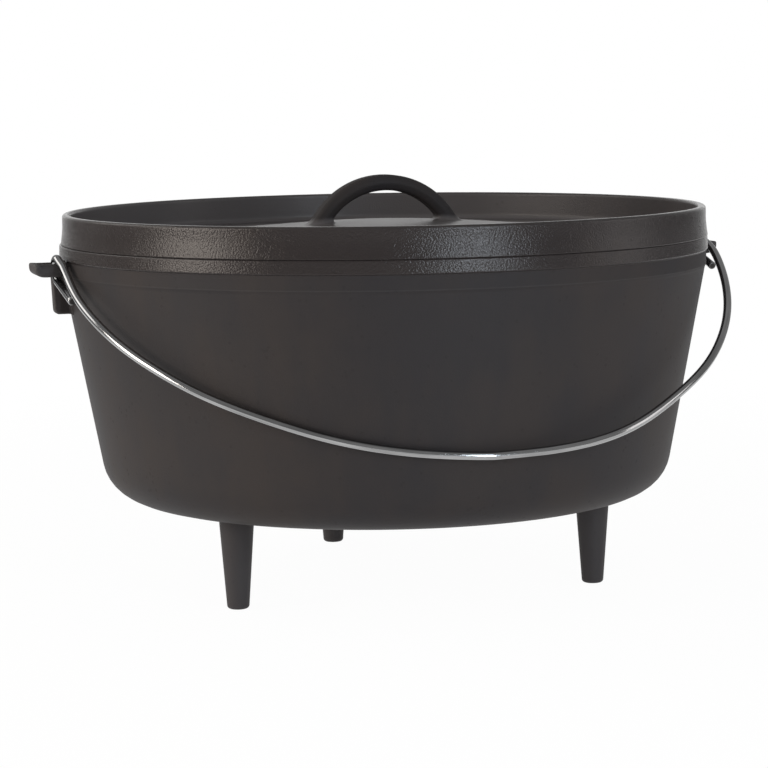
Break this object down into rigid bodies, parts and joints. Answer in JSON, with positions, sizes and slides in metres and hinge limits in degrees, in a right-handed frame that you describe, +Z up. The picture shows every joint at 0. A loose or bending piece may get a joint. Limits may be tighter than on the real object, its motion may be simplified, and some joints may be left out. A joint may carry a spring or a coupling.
{
  "type": "camp dutch oven",
  "caption": "Cast iron camp dutch oven: tapered kettle on stub legs, flanged coal lid with a loop handle, and a swinging steel wire bail hooked into cast ears.",
  "frame": {"origin": "on the floor under the centre of the kettle", "axes": "+Z up, X through both ears, -Y to the front where the bail hangs at rest"},
  "size_m": [0.3504, 0.3188, 0.201],
  "materials": {
    "seasoned_iron": "sand-cast and oil-seasoned, satin black",
    "wire_steel": "bright drawn wire"
  },
  "bodies": {
    "kettle": {"kettle": "seasoned_iron"},
    "lid": {"lid": "seasoned_iron"},
    "bail": {"bail": "wire_steel"}
  },
  "joints": [
    {"name": "bail_swing", "type": "hinge", "parent": "kettle", "child": "bail", "pos_m": [0, -0.0062, 0.1597], "axis": [-1, 0, 0], "range_deg": [0, 145]},
    {"name": "lid_lift", "type": "slide", "parent": "kettle", "child": "lid", "axis": [0, 0, 1], "range_m": [0, 0.18]}
  ]
}
